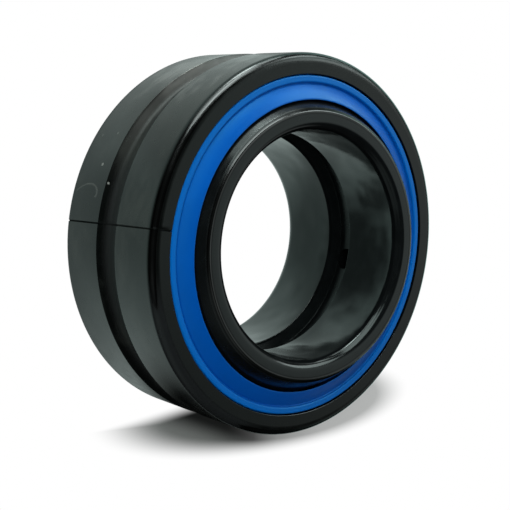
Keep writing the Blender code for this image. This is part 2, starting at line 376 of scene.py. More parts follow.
class BEARING_PG_stage(bpy.types.PropertyGroup):
    """Floor and lights."""
    floor_size: length("Floor size", "Length of the floor's sides", 4.0)
    floor: colour("Floor", "Colour of the floor in the shadow", (0.34, 0.365, 0.35))
    low_key_strength: strength("Low key light", "Brightness of the low light over the rings", 3.2)
    high_key_strength: strength("High key light", "Brightness of the high light over the rings", 3.6)
    spark_strength: strength("Spark light", "Brightness of the small lamp between them", 13.0)
    side_strength: strength("Side light", "Brightness of the light on the right", 4.0)
    fill_strength: strength("Fill light", "Brightness of the soft light from the front", 2.4)
    low_fill_strength: strength("Low fill light", "Brightness of the soft light from the lower left", 0.8)
    room_strength: strength("Room light", "Brightness of the room where it is brightest", 0.76)
    shadow_down: length("Shadow, down", "How far below the middle the visible shadow lies", 0.0225)
    shadow_right: length("Shadow, right", "How far right of the middle the visible shadow lies", 0.011)
    shadow_height: length("Shadow height", "Half the height of the visible shadow", 0.0065)
    shadow_width: length("Shadow width", "Half the width of the visible shadow", 0.027)


def symmetric_outline(outer_half, inner_half):
    """Closed outline of rows (radius, height, round) from its two upper halves.

    Each half runs from the face down to the middle. The outline runs down the outer side, mirrored below the
    middle, and up the inner side.
    """
    upper_outer = np.array(outer_half)
    upper_inner = np.array(inner_half)
    below = np.array((1.0, -1.0, 1.0))
    return np.concatenate((upper_outer, upper_outer[::-1] * below, upper_inner * below, upper_inner[::-1]))


def sphere_arc(radius, high, low, steps):
    """Rows (radius, height, 0) down a sphere's outline, even in angle, from one height to a lower one."""
    angles = np.linspace(math.asin(high / radius), math.asin(low / radius), steps + 1)
    return np.stack((radius * np.cos(angles), radius * np.sin(angles), 0 * angles), axis=1).tolist()


def ellipse_edge(radius, height, radial, axial):
    """Rows (radius, height, 0) of a quarter ellipse, from a flat face round to a cylinder."""
    angles = np.linspace(math.pi / 2, 0.0, EDGE_STEPS + 1)
    arc = (radius - radial + radial * np.cos(angles), height - axial + axial * np.sin(angles), 0 * angles)
    return np.stack(arc, axis=1).tolist()


def rounded(outline):
    """Points (radius, height) of a closed outline of rows (radius, height, round), and the wear of each.

    A corner with a round becomes an arc that touches both its sides. The arc's ends lie round / tan(half the
    corner's angle) from the corner, its middle lies on the corner's bisector, and its points turn evenly
    from one end to the other. One more point on each side keeps the flat beside it flat. A corner without a
    round stays one point. The wear of an outward corner rises and falls along its arc as half a sine wave,
    and the rest has none.
    """
    corner, radius = outline[:, :2], outline[:, 2:]
    back = np.roll(corner, 1, axis=0) - corner
    ahead = np.roll(corner, -1, axis=0) - corner
    back /= np.linalg.norm(back, axis=1, keepdims=True)
    ahead /= np.linalg.norm(ahead, axis=1, keepdims=True)
    half = np.arccos(np.clip((back * ahead).sum(axis=1, keepdims=True), -1.0, 1.0)) / 2
    sweep = np.maximum(math.pi - 2 * half, SMALLEST_SWEEP)[:, None, :]
    bisector = back + ahead
    bisector /= np.maximum(np.linalg.norm(bisector, axis=1, keepdims=True), SMALLEST_LENGTH)
    middle = corner + bisector * radius / np.sin(half)
    first = corner + back * radius / np.tan(half)
    last = corner + ahead * radius / np.tan(half)
    turn = np.linspace(0.0, 1.0, ROUND_STEPS + 1)[None, :, None]
    from_first = np.sin((1 - turn) * sweep) * (first - middle)[:, None]
    from_last = np.sin(turn * sweep) * (last - middle)[:, None]
    arc = middle[:, None] + (from_first + from_last) / np.sin(sweep)
    before = (first + back * SUPPORT)[:, None]
    after = (last + ahead * SUPPORT)[:, None]
    points = np.concatenate((before, arc, after), axis=1)
    outward = (back[:, 0] * ahead[:, 1] - back[:, 1] * ahead[:, 0] > 0)[:, None]
    hump = np.sin(np.linspace(0.0, math.pi, ROUND_STEPS + 1))
    wear = np.concatenate(((0.0,), hump, (0.0,)))[None] * outward
    kept = np.repeat(radius > 0, ROUND_STEPS + 3, axis=1)
    kept[:, 1] = True
    return points[kept], np.where(radius > 0, wear, 0.0)[kept]


def turned(points, steps=TURN_STEPS):
    """Places and faces of a closed outline turned round Z, its azimuth running evenly round the circle."""
    azimuth = np.linspace(0.0, math.tau, steps, endpoint=False)[:, None]
    return on_circle(points, azimuth), grid_faces(steps, len(points), steps)


def on_circle(points, azimuth):
    """Places of points (radius, height) at their azimuths: x = r cos a, y = r sin a, z = height."""
    radius, height = points.T
    across = radius * np.cos(azimuth)
    along = radius * np.sin(azimuth)
    return np.stack((across, along, np.broadcast_to(height, across.shape)), axis=-1).reshape(-1, 3)


def grid_faces(strips, rows, columns):
    """Four-sided faces between neighbouring columns of a grid whose rows join up, column by column."""
    column = np.arange(strips)[:, None] * rows
    beside = (np.arange(1, strips + 1) % columns)[:, None] * rows
    row = np.arange(rows)[None]
    above = (row + 1) % rows
    corners = (column + row, column + above, beside + above, beside + row)
    return np.stack(corners, axis=2).reshape(-1, 4).tolist()


def split_azimuths(points, depth, sizes):
    """Azimuth of each face of the fracture at points (radius, height), given their depth below the surface.

    The fracture is a plane through the axis, turned by the slant about the radius, a little wavy, and
    bulging sideways and tightening below the surface. Each face stands half the split's width there off it,
    so the azimuth is the split's own and arcsin(sideways distance / radius).
    """
    radius, height = points.T
    below = 1 - np.exp(-depth / BULGE_DEPTH)
    wave = sum(part * np.sin(pitch * along + start)
               for along, (pitch, start, part) in zip((height, radius), FRACTURE_WAVES))
    middle = sizes.split_wave * wave + sizes.split_bulge * below - math.tan(SPLIT_SLANT) * height
    half = sizes.split_width / 2 * (1 - (1 - TIGHT_SHARE) * below)
    first = SPLIT_AZIMUTH + np.arcsin((middle + half) / radius)
    last = SPLIT_AZIMUTH + math.tau + np.arcsin((middle - half) / radius)
    return first, last


def depth_inside(places, outline):
    """Distance of places from the nearest side of a closed outline of points."""
    side = np.roll(outline, -1, axis=0) - outline
    start = places[:, None] - outline[None]
    along = np.clip((start * side).sum(axis=2) / (side ** 2).sum(axis=1), 0.0, 1.0)
    return np.linalg.norm(start - along[..., None] * side, axis=2).min(axis=1)


def split_ring(points, sizes):
    """Places and faces of a closed outline turned round Z from one face of the fracture to the other.

    Each point's azimuth runs evenly from the first face to the last. Both faces are the outline filled with
    triangles over a fine lattice, and bulge the same way, so that they would fit each other.
    """
    low, high = points.min(axis=0), points.max(axis=0)
    across, up = np.meshgrid(*(np.arange(a, b, FRACTURE_GRAIN) for a, b in zip(low, high)))
    lattice = np.stack((across.ravel(), up.ravel()), axis=1)
    depth = depth_inside(lattice, points)
    lattice, depth = lattice[depth > FRACTURE_GRAIN / 2], depth[depth > FRACTURE_GRAIN / 2]
    count = len(points)
    border = [(corner, (corner + 1) % count) for corner in range(count)]
    flat = [Vector(place) / FRACTURE_GRAIN for place in np.concatenate((points, lattice)).tolist()]
    _, _, triangles, kept, _, _ = delaunay_2d_cdt(flat, border, [], 1, FRACTURE_TOLERANCE)
    triangles = [[kept[corner][0] for corner in triangle] for triangle in triangles]
    inside = sorted({corner for triangle in triangles for corner in triangle if corner >= count})
    lattice, depth = lattice[np.array(inside) - count], depth[np.array(inside) - count]

    first, last = split_azimuths(points, np.zeros(count), sizes)
    run = first + (last - first) * np.linspace(0.0, 1.0, TURN_STEPS + 1)[:, None]
    fillings = [on_circle(lattice, azimuth[None]) for azimuth in split_azimuths(lattice, depth, sizes)]
    faces = grid_faces(TURN_STEPS, count, TURN_STEPS + 1)
    inner_start = (TURN_STEPS + 1) * count
    for skip, start, way in ((0, inner_start, 1), (TURN_STEPS * count, inner_start + len(inside), -1)):
        place = dict(zip(inside, range(start, start + len(inside))))
        faces += [[place.get(corner, corner + skip) for corner in triangle][::way] for triangle in triangles]
    return np.concatenate((on_circle(points, run), *fillings)), faces


def leaned(places, lean):
    """Places turned about X: y' = y cos - z sin, z' = y sin + z cos."""
    x, y, z = places.T
    across = y * math.cos(lean) - z * math.sin(lean)
    up = y * math.sin(lean) + z * math.cos(lean)
    return np.stack((x, across, up), axis=1)


def add_piece(name, places, faces, material=None, wear=None):
    """Object at the origin, its doubles merged and its faces outwards, with its wear as an attribute."""
    mesh = bpy.data.meshes.new(name)
    mesh.from_pydata(places, [], faces)
    shape = bmesh.new()
    shape.from_mesh(mesh)
    bmesh.ops.remove_doubles(shape, verts=shape.verts, dist=WELD_DISTANCE)
    bmesh.ops.recalc_face_normals(shape, faces=shape.faces)
    shape.to_mesh(mesh)
    shape.free()
    if wear is not None:
        mesh.attributes.new("edge", "FLOAT", "POINT").data.foreach_set("value", wear.astype(np.float32))
    if material is not None:
        mesh.materials.append(material)
    piece = bpy.data.objects.new(name, mesh)
    bpy.context.collection.objects.link(piece)
    return piece


def finish_shading(piece):
    piece.data.shade_smooth()
    piece.data.set_sharp_from_angle(angle=SMOOTH_ANGLE)


def cut_holes(piece, diameter, inside, outside, azimuth, lean):
    """Round holes through a ring's wall at its middle, evenly spaced.

    The drill is an outline of (distance from the hole's axis, distance from the ring's axis) turned round
    the hole.
    """
    radius = diameter / 2
    low, high = inside - CUT_OVERRUN, outside + CUT_OVERRUN
    places, faces = turned(np.array(((0.0, low), (radius, low), (radius, high), (0.0, high))), HOLE_STEPS)
    for number in range(HOLES_PER_RING):
        turn = azimuth + math.tau * number / HOLES_PER_RING
        across = np.array((math.sin(turn), -math.cos(turn), 0.0))
        along = np.array((math.cos(turn), math.sin(turn), 0.0))
        drill = places @ np.stack((across, np.array((0.0, 0.0, 1.0)), along))
        cutter = add_piece("drill", leaned(drill, lean), faces)
        cut = piece.modifiers.new("grease_hole", "BOOLEAN")
        cut.operation = "DIFFERENCE"
        cut.solver = "EXACT"
        cut.object = cutter
        seen = piece.evaluated_get(bpy.context.evaluated_depsgraph_get())
        mesh = bpy.data.meshes.new_from_object(seen)
        piece.modifiers.clear()
        old = piece.data
        piece.data = mesh
        mesh.name = piece.name
        bpy.data.meshes.remove(old)
        bpy.data.objects.remove(cutter, do_unlink=True)


def set_inputs(tree, node, inputs):
    """Links a node's inputs to the sockets given for them, and sets those given as values."""
    for key, value in inputs.items():
        if isinstance(value, bpy.types.NodeSocket):
            tree.links.new(value, node.inputs[key])
        else:
            node.inputs[key].default_value = value


def add_node(tree, kind, inputs=None, **settings):
    made = tree.nodes.new(kind)
    for key, value in settings.items():
        setattr(made, key, value)
    set_inputs(tree, made, inputs or {})
    return made


def math_node(tree, operation, *values):
    return add_node(tree, "ShaderNodeMath", dict(enumerate(values)), operation=operation).outputs[0]


def difference(tree, first, second):
    return math_node(tree, "SUBTRACT", first, second)


def product(tree, first, *others):
    for other in others:
        first = math_node(tree, "MULTIPLY", first, other)
    return first


def largest(tree, first, *others):
    for other in others:
        first = math_node(tree, "MAXIMUM", first, other)
    return first


def vector_node(tree, operation, *values):
    """Result of a Vector Math node: a vector for a multiplication, and a number for the rest used here."""
    made = add_node(tree, "ShaderNodeVectorMath", dict(enumerate(values)), operation=operation)
    return made.outputs["Vector" if operation == "MULTIPLY" else "Value"]


def new_material(name):
    """Material with an empty Principled shader."""
    material = bpy.data.materials.new(name)
    material.use_nodes = True
    tree = material.node_tree
    return material, tree, tree.nodes["Principled BSDF"]


def ring_axes(tree, lean):
    """Place in the ring's own axes, the same without its height, the radius and the height."""
    coordinates = add_node(tree, "ShaderNodeTexCoord").outputs["Object"]
    place = add_node(
        tree, "ShaderNodeMapping", {"Vector": coordinates, "Rotation": (-lean, 0.0, 0.0)}).outputs[0]
    flat = vector_node(tree, "MULTIPLY", place, (1.0, 1.0, 0.0))
    height = add_node(tree, "ShaderNodeSeparateXYZ", {0: place}).outputs["Z"]
    return place, flat, vector_node(tree, "LENGTH", flat), height


def noise(tree, place, scale, detail):
    made = add_node(tree, "ShaderNodeTexNoise", {
        "Vector": place, "Scale": scale, "Detail": detail, "Roughness": NOISE_ROUGHNESS})
    return made.outputs["Fac"]


def streaks(tree, place, radius, along, across):
    """Streaks round the ring: noise that changes slowly along the circle and fast with radius and height."""
    made = add_node(tree, "ShaderNodeTexNoise", {
        "Vector": vector_node(tree, "MULTIPLY", place, (along, along, across)),
        "W": product(tree, radius, across), "Scale": 1.0, "Detail": STREAK_DETAIL,
        "Roughness": STREAK_ROUGHNESS}, noise_dimensions="4D")
    return made.outputs["Fac"]


def remap(tree, value, start, end, before, after, kind="LINEAR"):
    """Amount that goes straight from one level before a band to another after it."""
    return add_node(tree, "ShaderNodeMapRange", {
        "Value": value, "From Min": start, "From Max": end, "To Min": before, "To Max": after},
        interpolation_type=kind).outputs[0]


def eased(tree, value, *band):
    """The same, but starting and ending gently."""
    return remap(tree, value, *band, kind="SMOOTHSTEP")


def blend(tree, amount, below, above):
    """Mix of two colours, from the one below to the one above as the amount goes from 0 to 1."""
    return add_node(
        tree, "ShaderNodeMix", {"Factor": amount, MIX_BELOW: below, MIX_ABOVE: above},
        data_type="RGBA").outputs[MIX_RESULT]


def bump(tree, height, depth, below=None):
    """Bump of a height, over the bump below it if there is one."""
    inputs = {"Height": height, "Distance": depth, "Strength": 1.0}
    if below is not None:
        inputs["Normal"] = below
    return add_node(tree, "ShaderNodeBump", inputs).outputs[0]


def opaque(tone, factor=1.0):
    """Colour times a factor, with full opacity."""
    return (*(factor * part for part in tone), 1.0)


def stray_marks(tree, place):
    """Mask of the pale specks and the stray fibre that lie on the rear land, left of the slit.

    A speck is what lies within its radius of its place. The fibre starts at its height less the tail, bends
    up to its azimuth as a parabola, and hooks back as part of an ellipse, in coordinates of length round the
    ring and height along it.
    """
    mask = 0.0
    for degrees, inset, up, radius, paleness in SPECKS:
        out = OUTSIDE_RADIUS - inset
        turn = math.radians(degrees)
        away = vector_node(tree, "DISTANCE", place, (out * math.cos(turn), out * math.sin(turn), up))
        mask = largest(tree, eased(tree, away, SPECK_CORE * radius, radius, paleness, 0.0), mask)
    parts = add_node(tree, "ShaderNodeSeparateXYZ", {0: place}).outputs
    along = product(tree, math_node(tree, "ARCTAN2", parts["Y"], parts["X"]), OUTSIDE_RADIUS)
    across = difference(tree, along, FIBRE_AZIMUTH * OUTSIDE_RADIUS)
    reach = difference(tree, parts["Z"], FIBRE_HEIGHT)
    tail = difference(tree, across, product(tree, reach, reach, FIBRE_BEND))
    tail = largest(tree, math_node(tree, "ABSOLUTE", tail), difference(tree, -FIBRE_TAIL, reach), reach)
    oval = add_node(tree, "ShaderNodeCombineXYZ", {
        "X": difference(tree, math_node(tree, "DIVIDE", across, FIBRE_HOOK), 1.0),
        "Y": math_node(tree, "DIVIDE", reach, FIBRE_REACH)}).outputs[0]
    hook = math_node(tree, "ABSOLUTE", difference(tree, vector_node(tree, "LENGTH", oval), 1.0))
    hook = largest(
        tree, product(tree, hook, FIBRE_HOOK), difference(tree, 0.0, reach),
        difference(tree, across, FIBRE_HOOK_SPAN * FIBRE_HOOK))
    return largest(tree, eased(tree, math_node(tree, "MINIMUM", tail, hook), *FIBRE_WIDTH), mask)


def add_dirt_and_painted_light(tree, tone, dust_and_painted_light, axes, upwards, cloud):
    """Tone with its dirt and painted light, and the masks of the groove and of the smears.

    A pale tone lies on the lands on the side that faced up, towards the light: partly a dusting and partly
    painted light. The groove's rear wall there gets it paler still as painted light, and a dusting lies all
    round in the groove. Haze and smears run round the lands, and the smears only at the top.
    """
    place, _, radius, height = axes
    off_middle = math_node(tree, "ABSOLUTE", height)
    lands = remap(tree, off_middle, *LANDS)
    # Pale tone on the lands on the side facing the light: partly a dusting, partly painted light
    dust_and_painted_light_mask = product(tree, eased(tree, upwards, *DUST_AND_PAINTED_LIGHT_TURN), lands, remap(tree, cloud, *DUST_CLOUD))
    off_wall = math_node(tree, "ABSOLUTE", difference(tree, height, WALL_HEIGHT))
    # Painted light: the groove's rear wall on the side facing the light
    wall = product(tree, remap(tree, off_wall, *WALL_WIDTH), remap(tree, upwards, *WALL_TURN), dust_and_painted_light_mask)
    groove = product(tree, remap(tree, radius, *GROOVE_SINK), remap(tree, off_middle, *GROOVE_WIDTH))
    haze = product(tree, eased(tree, streaks(tree, place, radius, *HAZE_STREAKS), *HAZE_AMOUNT), lands)
    smears = eased(tree, streaks(tree, place, radius, *SMEAR_STREAKS), *SMEAR_AMOUNT)
    smears = product(tree, smears, eased(tree, upwards, *SMEAR_TURN), lands)
    tone = blend(tree, stray_marks(tree, place), tone, STRAY_TONE)
    tone = blend(tree, dust_and_painted_light_mask, tone, opaque(dust_and_painted_light))
    tone = blend(tree, groove, tone, GROOVE_TONE)
    tone = blend(tree, haze, tone, HAZE_TONE)
    # Painted light on the groove's rear wall, paler than on the lands
    tone = blend(tree, wall, tone, opaque(dust_and_painted_light, WALL_PAINTED_LIGHT))
    return blend(tree, smears, tone, opaque(dust_and_painted_light, SMEAR_DUST)), groove, smears


def make_steel(name, sizes, lean, bumps, rubbed_edge, dust_and_painted_light=None):
    """Dark satin steel: mottled tone, turning marks round the ring, edges rubbed paler, and a dull fracture.

    The rubbed edge is (radius, height, width). The outer ring, which gets a dusting and painted light, also
    has the outside's dirt and dents, and painted light on its outside edge at the lower left: a paler tone
    in place of the rubbed highlight. The other one has a duller lead-in, and waves in its bore alone.
    """
    material, tree, shader = new_material(name)
    axes = ring_axes(tree, lean)
    place, flat, radius, height = axes
    mottle = noise(tree, place, *MOTTLE)
    cloud = noise(tree, place, *CLOUD)
    marks = streaks(tree, place, radius, *TURNING_MARKS)
    dark = opaque(sizes.steel, DARK_STEEL)
    tone = blend(tree, remap(tree, mottle, *MOTTLE_TONE), dark, opaque(sizes.steel, PALE_STEEL))
    tone = blend(tree, remap(tree, cloud, *CLOUD_TONE), tone, dark)
    rough = math_node(tree, "ADD", remap(tree, mottle, *MOTTLE_ROUGHNESS), sizes.roughness)

    wear = add_node(tree, "ShaderNodeAttribute", attribute_name="edge").outputs["Fac"]
    off_middle = math_node(tree, "ABSOLUTE", height)
    outline = add_node(tree, "ShaderNodeCombineXYZ", {"X": radius, "Y": off_middle}).outputs[0]
    marks_depth, wave_depth = bumps
    edge_radius, edge_height, edge_width = rubbed_edge
    away = vector_node(tree, "DISTANCE", outline, (edge_radius, edge_height, 0.0))
    rubbed = largest(tree, eased(tree, away, 0.0, edge_width, 1.0, 0.0), wear)
    rubbed = product(tree, rubbed, remap(tree, marks, *RUBBED_STREAKS))
    if dust_and_painted_light is not None:
        # Painted light on the lower-left outside edge: a paler tone, without the rubbed highlight
        facing = math_node(tree, "DIVIDE", vector_node(tree, "DOT_PRODUCT", flat, PAINTED_EDGE_LIGHT_SIDE), radius)
        painted_edge_light = product(tree, eased(tree, facing, *PAINTED_EDGE_LIGHT_TURN), eased(tree, away, *PAINTED_EDGE_LIGHT_WIDTH))
        rubbed = product(tree, rubbed, difference(tree, 1.0, painted_edge_light))
        tone = blend(tree, painted_edge_light, tone, PAINTED_EDGE_LIGHT_TONE)
    tone = blend(tree, rubbed, tone, opaque(sizes.worn))

    waves = noise(tree, place, *WAVES)
    if dust_and_painted_light is None:
        rough = math_node(tree, "ADD", rough, remap(tree, radius, *LEAD_ROUGHNESS))
        normal = bump(tree, product(tree, waves, remap(tree, radius, *BORE_WAVES)), wave_depth)
    else:
        upwards = math_node(tree, "DIVIDE", vector_node(tree, "DOT_PRODUCT", flat, PICTURE_UP), radius)
        tone, groove, smears = add_dirt_and_painted_light(tree, tone, dust_and_painted_light, axes, upwards, cloud)
        rough = largest(tree, rough, product(tree, groove, GROOVE_ROUGHNESS))
        rough = difference(tree, rough, product(tree, smears, SMEAR_POLISH))
        dents = difference(tree, streaks(tree, place, radius, *DENT_STREAKS), DENT_MIDDLE)
        dents = product(tree, dents, eased(tree, away, *DENT_WIDTH), eased(tree, upwards, *DENT_TURN))
        normal = bump(tree, dents, DENT_DEPTH, bump(tree, waves, wave_depth))
    rough = difference(tree, rough, product(tree, rubbed, RUBBED_POLISH))
    rough = largest(tree, rough, remap(tree, wear, *FRACTURE_ROUGHNESS))
    normal = bump(tree, mottle, GRAIN_DEPTH, bump(tree, marks, marks_depth, normal))
    set_inputs(tree, shader, {
        "Base Color": tone, "Metallic": remap(tree, rubbed, *RUBBED_METAL), "Roughness": rough,
        "Specular IOR Level": sizes.gloss, "Specular Tint": STEEL_TINT, "Normal": normal})
    return material


def make_rubber(name, rubber, roughness, lean):
    """Blue moulded seal: a faint cloud, a rim painted paler as a highlight, half gloss, and fine mould
    grain.
    """
    material, tree, shader = new_material(name)
    place, _, radius, _ = ring_axes(tree, lean)
    cloud = noise(tree, place, *RUBBER_CLOUD)
    grain = noise(tree, place, *RUBBER_GRAIN)
    tone = blend(tree, remap(tree, cloud, *RUBBER_CLOUD_TONE), opaque(rubber, DARK_RUBBER), opaque(rubber))
    low, high = roughness - RUBBER_ROUGHNESS_SPREAD, roughness + RUBBER_ROUGHNESS_SPREAD
    # The rim's paler colour is a painted highlight
    set_inputs(tree, shader, {
        "Base Color": blend(tree, remap(tree, radius, *RIM_BAND), tone, PAINTED_RIM_HIGHLIGHT),
        "Roughness": remap(tree, grain, *RUBBER_GRAIN_SPAN, low, high),
        "Specular IOR Level": RUBBER_GLOSS, "Specular Tint": RUBBER_TINT,
        "Normal": bump(tree, grain, GRAIN_DEPTH)})
    return material


def outer_ring_outline(sizes):
    """Closed outline of the outer ring: its edges, grooves, seal seats and hollow sphere."""
    edge = ellipse_edge(OUTSIDE_RADIUS, OUTER_FACE, sizes.edge_radial, sizes.edge_axial)
    edge[0][2] = sizes.face_round
    outer_half = edge + [
        (OUTSIDE_RADIUS, sizes.groove_width / 2, sizes.groove_round),
        (OUTSIDE_RADIUS - sizes.groove_depth, sizes.groove_floor / 2, sizes.groove_fillet),
    ]
    outer_half[EDGE_STEPS] = (OUTSIDE_RADIUS, outer_half[EDGE_STEPS][1], 0.0)
    arc = sphere_arc(SLIDING_RADIUS, SEAT_FLOOR, sizes.sliding_width / 2, SPHERE_STEPS // 2)
    arc[0][2] = sizes.small_round
    arc[-1][2] = sizes.small_round
    inner_half = [
        (SEAT_RADIUS, OUTER_FACE, sizes.small_round),
        (SEAT_RADIUS, UNDERCUT_TOP, sizes.small_round),
        (UNDERCUT_RADIUS, UNDERCUT_TOP, sizes.small_round),
        (UNDERCUT_RADIUS, SEAT_FLOOR, sizes.small_round),
        *arc,
        (SLIDING_RADIUS + sizes.sliding_depth, sizes.sliding_floor / 2, sizes.small_round),
    ]
    return symmetric_outline(outer_half, inner_half)


def inner_ring_outline(sizes):
    """Closed outline of the inner ring: its ball, faces, lead-ins, bore and groove."""
    face_radius = BALL_EDGE_RADIUS - sizes.edge_break / 2
    arc = sphere_arc(SPHERE_RADIUS, INNER_FACE - sizes.edge_break, 0.0, SPHERE_STEPS)[:-1]
    arc[0][2] = sizes.small_round
    outer_half = [(face_radius, INNER_FACE, sizes.face_round), *arc]
    lead = np.array(ellipse_edge(0.0, INNER_FACE, sizes.lead_radial, sizes.lead_axial))
    lead[:, 0] = BORE_RADIUS - lead[:, 0]
    inner_half = [
        *lead.tolist(),
        (BORE_RADIUS, sizes.groove_width / 2, sizes.groove_round),
        (BORE_RADIUS + sizes.groove_depth, sizes.groove_floor / 2, sizes.groove_round),
    ]
    return symmetric_outline(outer_half, inner_half)


def seal_outline(sizes):
    """Closed outline of the front seal, from its rim round its foot and lip and back over its band."""
    rim_radius = SEAT_RADIUS - sizes.fit_gap
    rim_height = OUTER_FACE - sizes.rim_sink
    rim_inside = rim_radius - sizes.rim_width
    foot_radius = UNDERCUT_RADIUS - sizes.fit_gap
    foot_top = UNDERCUT_TOP - sizes.fit_gap
    foot_base = SEAT_FLOOR + sizes.fit_gap
    band_outside = rim_inside - sizes.groove_width
    band_low = rim_height - sizes.rim_round
    lip_height = OUTER_FACE + sizes.lip_height
    arc = sphere_arc(SLIDING_RADIUS, lip_height, foot_base, BAND_STEPS)[::-1]
    arc[0][2] = sizes.small_round
    arc[-1][2] = sizes.small_round / 2
    part = np.linspace(0.0, 1.0, BAND_STEPS + 1)
    lip_radius = arc[-1][0] + sizes.lip_thickness
    band = np.stack((
        lip_radius + (band_outside - lip_radius) * part,
        lip_height + (band_low - lip_height) * part + 4 * sizes.band_crown * part * (1 - part),
        np.zeros(BAND_STEPS + 1)), axis=1)
    band[0, 2] = sizes.small_round
    band[-1, 2] = sizes.small_round
    return np.array([
        (rim_inside, rim_height, sizes.rim_round),
        (rim_radius, rim_height, sizes.rim_round),
        (rim_radius, foot_top, sizes.small_round),
        (foot_radius, foot_top - sizes.rim_round, sizes.small_round),
        (foot_radius, foot_base, sizes.small_round),
        *arc,
        *band.tolist(),
        ((rim_inside + band_outside) / 2, band_low - sizes.groove_depth, sizes.small_round / 2),
        (rim_inside, band_low, sizes.small_round / 2),
    ])


class BEARING_OT_add_outer_ring(bpy.types.Operator):
    """Add the split outer ring with its grooves, seal seats and grease holes"""
    bl_idname = "bearing.add_outer_ring"
    bl_label = "Outer Ring"

    def execute(self, context):
        sizes = context.scene.bearing_outer_ring
        edge_radius = OUTSIDE_RADIUS - OUTER_RUB_INSET * sizes.edge_radial
        edge_height = OUTER_FACE - OUTER_RUB_INSET * sizes.edge_axial
        steel = make_steel(
            "outer_ring_steel_finish", sizes, LEAN, OUTER_BUMPS, (edge_radius, edge_height, OUTER_RUB_WIDTH),
            sizes.dust_and_painted_light)
        points, edge = rounded(outer_ring_outline(sizes))
        places, faces = split_ring(points, sizes)
        wear = np.full(len(places), FRACTURE_MARK)
        wear[:len(points) * (TURN_STEPS + 1)] = np.tile(edge, TURN_STEPS + 1)
        ring = add_piece("split_outer_ring", leaned(places, LEAN), faces, steel, wear)
        cut_holes(ring, sizes.hole_diameter, SLIDING_RADIUS, OUTSIDE_RADIUS, OUTER_HOLE_AZIMUTH, LEAN)
        finish_shading(ring)
        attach(ring, "outer_ring")
        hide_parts("outer_ring")
        return {"FINISHED"}


class BEARING_OT_add_inner_ring(bpy.types.Operator):
    """Add the ball-shaped inner ring with its bore, groove and grease holes"""
    bl_idname = "bearing.add_inner_ring"
    bl_label = "Inner Ring"

    def execute(self, context):
        sizes = context.scene.bearing_inner_ring
        edge_radius = BALL_EDGE_RADIUS - sizes.edge_break / 2
        steel = make_steel(
            "inner_ring_steel_finish", sizes, 0.0, INNER_BUMPS,
            (edge_radius, INNER_FACE, INNER_RUB_SHARE * sizes.edge_break))
        points, edge = rounded(inner_ring_outline(sizes))
        places, faces = turned(points)
        ring = add_piece("ball_inner_ring", places, faces, steel, np.tile(edge, TURN_STEPS))
        cut_holes(ring, sizes.hole_diameter, BORE_RADIUS, SPHERE_RADIUS, INNER_HOLE_AZIMUTH, 0.0)
        finish_shading(ring)
        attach(ring, "inner_ring")
        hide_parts("inner_ring")
        return {"FINISHED"}


class BEARING_OT_add_seals(bpy.types.Operator):
    """Add the blue seal at each face of the outer ring"""
    bl_idname = "bearing.add_seals"
    bl_label = "Seals"

    def execute(self, context):
        sizes = context.scene.bearing_seal
        rubber = make_rubber("seal_blue_finish", sizes.rubber, sizes.roughness, LEAN)
        points, edge = rounded(seal_outline(sizes))
        for node, side in (("front_seal", 1.0), ("rear_seal", -1.0)):
            places, faces = turned(points * (1.0, side))
            wear = np.tile(edge, TURN_STEPS)
            seal = add_piece(f"{node}_moulding", leaned(places, LEAN), faces, rubber, wear)
            finish_shading(seal)
            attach(seal, "seals")
            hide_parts(node)
        return {"FINISHED"}


def area_light(name, towards, width, height, brightness):
    """Softbox that faces the rings from a direction, of a radiance where 1 is white."""
    light = bpy.data.lights.new(name, "AREA")
    light.shape = "RECTANGLE"
    light.size = width
    light.size_y = height
    light.energy = brightness * math.pi * width * height
    lamp = bpy.data.objects.new(name, light)
    direction = towards.normalized()
    lamp.location = direction * LAMP_DISTANCE
    lamp.rotation_euler = direction.to_track_quat("Z", "Y").to_euler()
    bpy.context.collection.objects.link(lamp)
    return lamp


def from_oval(tree, flat, place, size):
    """Distance from the middle of an ellipse that lies across the picture, where 1 is its rim."""
    across = add_node(tree, "ShaderNodeMapping", {
        "Vector": flat, "Location": picture(*place), "Rotation": (0.0, 0.0, PICTURE_TURN),
        "Scale": (*size, 1.0)}, vector_type="TEXTURE").outputs[0]
    return vector_node(tree, "LENGTH", across)


